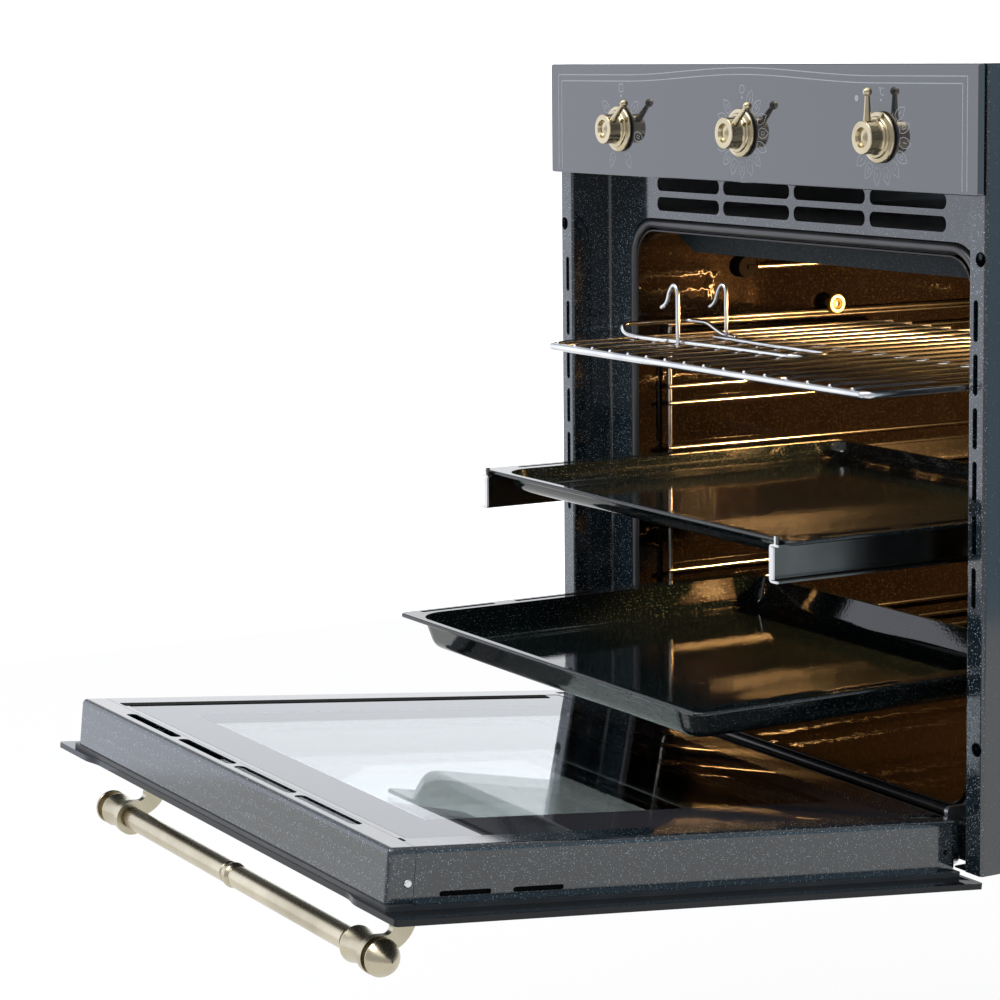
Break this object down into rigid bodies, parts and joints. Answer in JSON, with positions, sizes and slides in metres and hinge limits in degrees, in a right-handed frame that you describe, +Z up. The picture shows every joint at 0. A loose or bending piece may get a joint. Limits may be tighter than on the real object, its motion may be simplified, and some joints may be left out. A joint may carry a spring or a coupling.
{
  "type": "built-in oven",
  "caption": "Built-in electric oven with a drop-down glass door, wire rack, trays on rails, brass knobs and a brass rail handle.",
  "frame": {"origin": "centre of the four cabinet screws, on the face of the lip that seats on the cabinet's front edge", "axes": "+X to the right seen from the front, +Y into the cabinet, +Z up"},
  "size_m": [0.595, 1.0592, 0.6078],
  "materials": {
    "black_enamel": "gloss",
    "cavity_enamel": "gloss",
    "casing_steel": "satin",
    "dark_steel": "satin",
    "panel_glass": "gloss",
    "door_glass": "gloss",
    "lamp_glass": "gloss",
    "antique_brass": "satin",
    "chrome": "gloss",
    "element_steel": "satin",
    "aluminium": "satin",
    "seal_rubber": "matt",
    "mineral_wool": "matt",
    "black_plastic": "matt"
  },
  "bodies": {
    "cabinet": {"front_frame": "black_enamel", "cavity_liner": "cavity_enamel", "side_panel_left": "casing_steel", "side_panel_right": "casing_steel", "top_panel": "casing_steel", "base_panel": "casing_steel", "back_panel": "casing_steel", "insulation": "mineral_wool", "door_gasket": "seal_rubber", "control_panel": "panel_glass", "panel_backing": "dark_steel", "side_rack_left": "chrome", "side_rack_right": "chrome", "rack_thumb_nuts": "antique_brass", "rail_tracks": "chrome", "grill_element": "element_steel", "grill_deflector": "cavity_enamel", "bottom_element": "element_steel", "ring_element": "element_steel", "fan_cover": "cavity_enamel", "fan_motor": "casing_steel", "lamp": "casing_steel", "lamp_glass": "lamp_glass", "thermostat_probe": "chrome", "cooling_fan_housing": "casing_steel", "cooling_motor": "dark_steel", "selector_switch": "black_plastic", "timer": "black_plastic", "thermostat": "black_plastic", "terminal_block": "black_plastic", "cable_gland": "black_plastic", "hinge_receivers": "casing_steel", "hinge_arms": "casing_steel"},
    "door": {"door_outer_glass": "door_glass", "door_middle_glass": "door_glass", "door_inner_glass": "door_glass", "door_frame": "black_enamel", "door_top_profile": "black_enamel", "door_spacer": "black_plastic", "door_rivets": "chrome", "glass_holders": "casing_steel", "handle_bar": "antique_brass", "handle_brackets": "antique_brass", "handle_ends": "antique_brass", "handle_screws": "chrome", "hinge_plates": "casing_steel", "hinge_pins": "chrome"},
    "rack": {"wire_rack": "chrome", "spit_cradle": "chrome"},
    "shallow_tray": {"tray_shallow": "black_enamel", "rail_slides": "chrome"},
    "deep_tray": {"tray_deep": "black_enamel"},
    "knob_left": {"knob_left": "antique_brass", "knob_left_pointer": "antique_brass"},
    "knob_middle": {"knob_middle": "antique_brass", "knob_middle_pointer": "antique_brass"},
    "knob_right": {"knob_right": "antique_brass", "knob_right_pointer": "antique_brass"},
    "fan": {"fan_impeller": "aluminium"},
    "cooling_rotor": {"cooling_rotor": "aluminium"}
  },
  "joints": [
    {"name": "door_hinge", "type": "hinge", "parent": "cabinet", "child": "door", "pos_m": [0, -0.0138, -0.26935], "axis": [1, 0, 0], "range_deg": [-84.15, 0]},
    {"name": "deep_tray_slide", "type": "slide", "parent": "cabinet", "child": "deep_tray", "axis": [0, -1, 0], "range_m": [-0.288, 0]},
    {"name": "shallow_tray_slide", "type": "slide", "parent": "cabinet", "child": "shallow_tray", "axis": [0, -1, 0], "range_m": [-0.194, 0]},
    {"name": "rack_slide", "type": "slide", "parent": "cabinet", "child": "rack", "axis": [0, -1, 0], "range_m": [-0.128, 0]},
    {"name": "knob_left_turn", "type": "hinge", "parent": "cabinet", "child": "knob_left", "pos_m": [-0.183, -0.02845, 0.2659], "axis": [0, 1, 0], "continuous": true},
    {"name": "knob_middle_turn", "type": "hinge", "parent": "cabinet", "child": "knob_middle", "pos_m": [0, -0.02845, 0.2659], "axis": [0, 1, 0], "range_deg": [-50, 280]},
    {"name": "knob_right_turn", "type": "hinge", "parent": "cabinet", "child": "knob_right", "pos_m": [0.183, -0.02845, 0.2659], "axis": [0, 1, 0], "range_deg": [0, 300]},
    {"name": "fan_spin", "type": "hinge", "parent": "cabinet", "child": "fan", "pos_m": [0, 0.46, -0.0345], "axis": [0, 1, 0], "continuous": true},
    {"name": "cooling_spin", "type": "hinge", "parent": "cabinet", "child": "cooling_rotor", "pos_m": [0, 0.365, 0.2255], "axis": [0, 0, 1], "continuous": true}
  ],
  "couplings": [
    {"joint": "deep_tray_slide", "follows": "door_hinge", "m_per_rad": 0.196},
    {"joint": "shallow_tray_slide", "follows": "door_hinge", "m_per_rad": 0.13209},
    {"joint": "rack_slide", "follows": "door_hinge", "m_per_rad": 0.08715}
  ]
}
